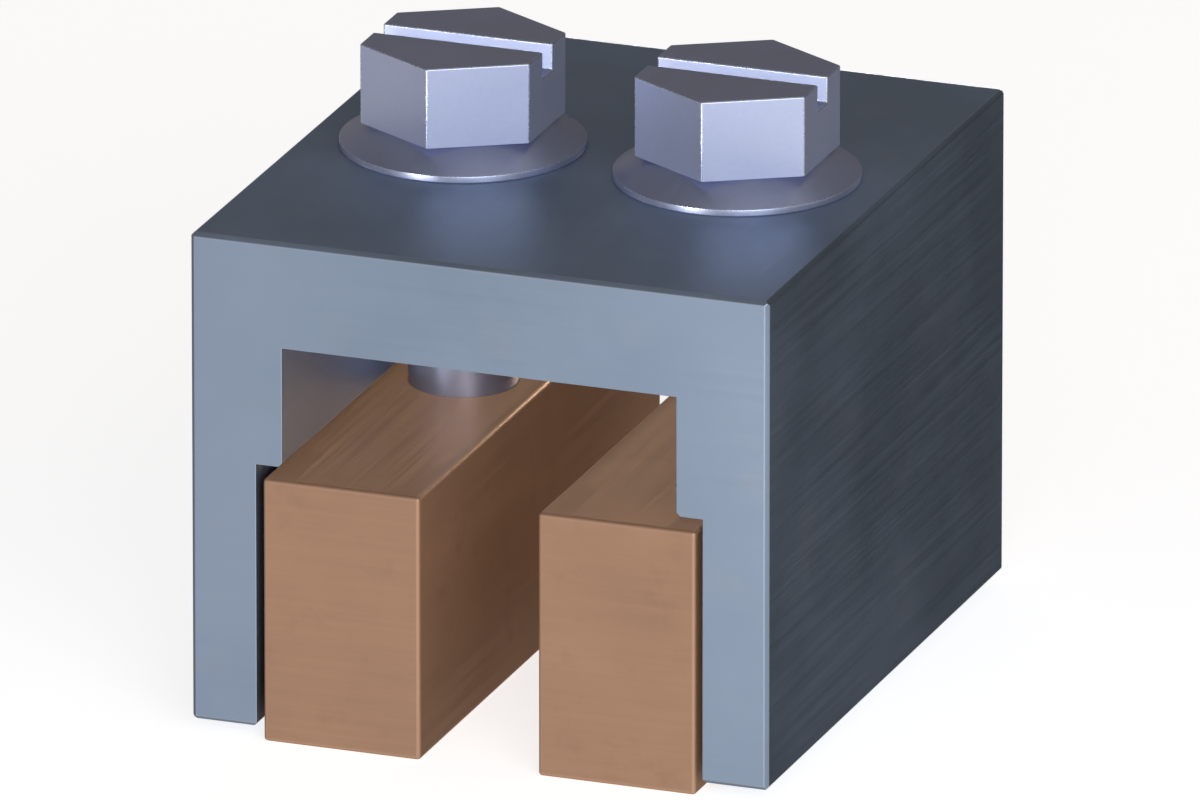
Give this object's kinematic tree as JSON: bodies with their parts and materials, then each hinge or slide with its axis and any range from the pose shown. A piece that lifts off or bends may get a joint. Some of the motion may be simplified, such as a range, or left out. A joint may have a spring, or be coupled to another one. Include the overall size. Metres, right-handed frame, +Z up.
{
  "type": "busbar terminal",
  "caption": "Steel channel clamp with two copper jaws drawn up by slotted flange screws, for gripping the head of a T or I section busbar.",
  "frame": {"origin": "middle of the terminal in plan, on the plane that the undersides of the jaws stand on", "axes": "+X across the busbar from the left jaw to the right jaw, +Y along the busbar, +Z up towards the screw heads"},
  "size_m": [0.044, 0.05, 0.046],
  "materials": {
    "zinc_plated_steel": "blue-passivated zinc plating, satin",
    "screw_steel": "blue-passivated zinc plating, satin",
    "copper": "drawn bare copper, satin"
  },
  "bodies": {
    "body": {"clamp_body": "zinc_plated_steel"},
    "screw_left": {"screw_left": "screw_steel"},
    "screw_right": {"screw_right": "screw_steel"},
    "jaw_left": {"jaw_left": "copper"},
    "jaw_right": {"jaw_right": "copper"}
  },
  "joints": [
    {"name": "screw_left_turn", "type": "hinge", "parent": "body", "child": "screw_left", "pos_m": [-0.0105, 0, 0.038], "axis": [0, 0, 1], "range_deg": [-288, 1530]},
    {"name": "screw_right_turn", "type": "hinge", "parent": "body", "child": "screw_right", "pos_m": [0.0105, 0, 0.038], "axis": [0, 0, 1], "range_deg": [-288, 1530]},
    {"name": "jaw_left_lift", "type": "slide", "parent": "body", "child": "jaw_left", "axis": [0, 0, 1], "range_m": [-0.00531, 0.001]},
    {"name": "jaw_right_lift", "type": "slide", "parent": "body", "child": "jaw_right", "axis": [0, 0, 1], "range_m": [-0.00531, 0.001]}
  ],
  "couplings": [
    {"joint": "screw_left_turn", "follows": "jaw_left_lift", "rad_per_m": -5026.5},
    {"joint": "screw_right_turn", "follows": "jaw_right_lift", "rad_per_m": -5026.5}
  ]
}
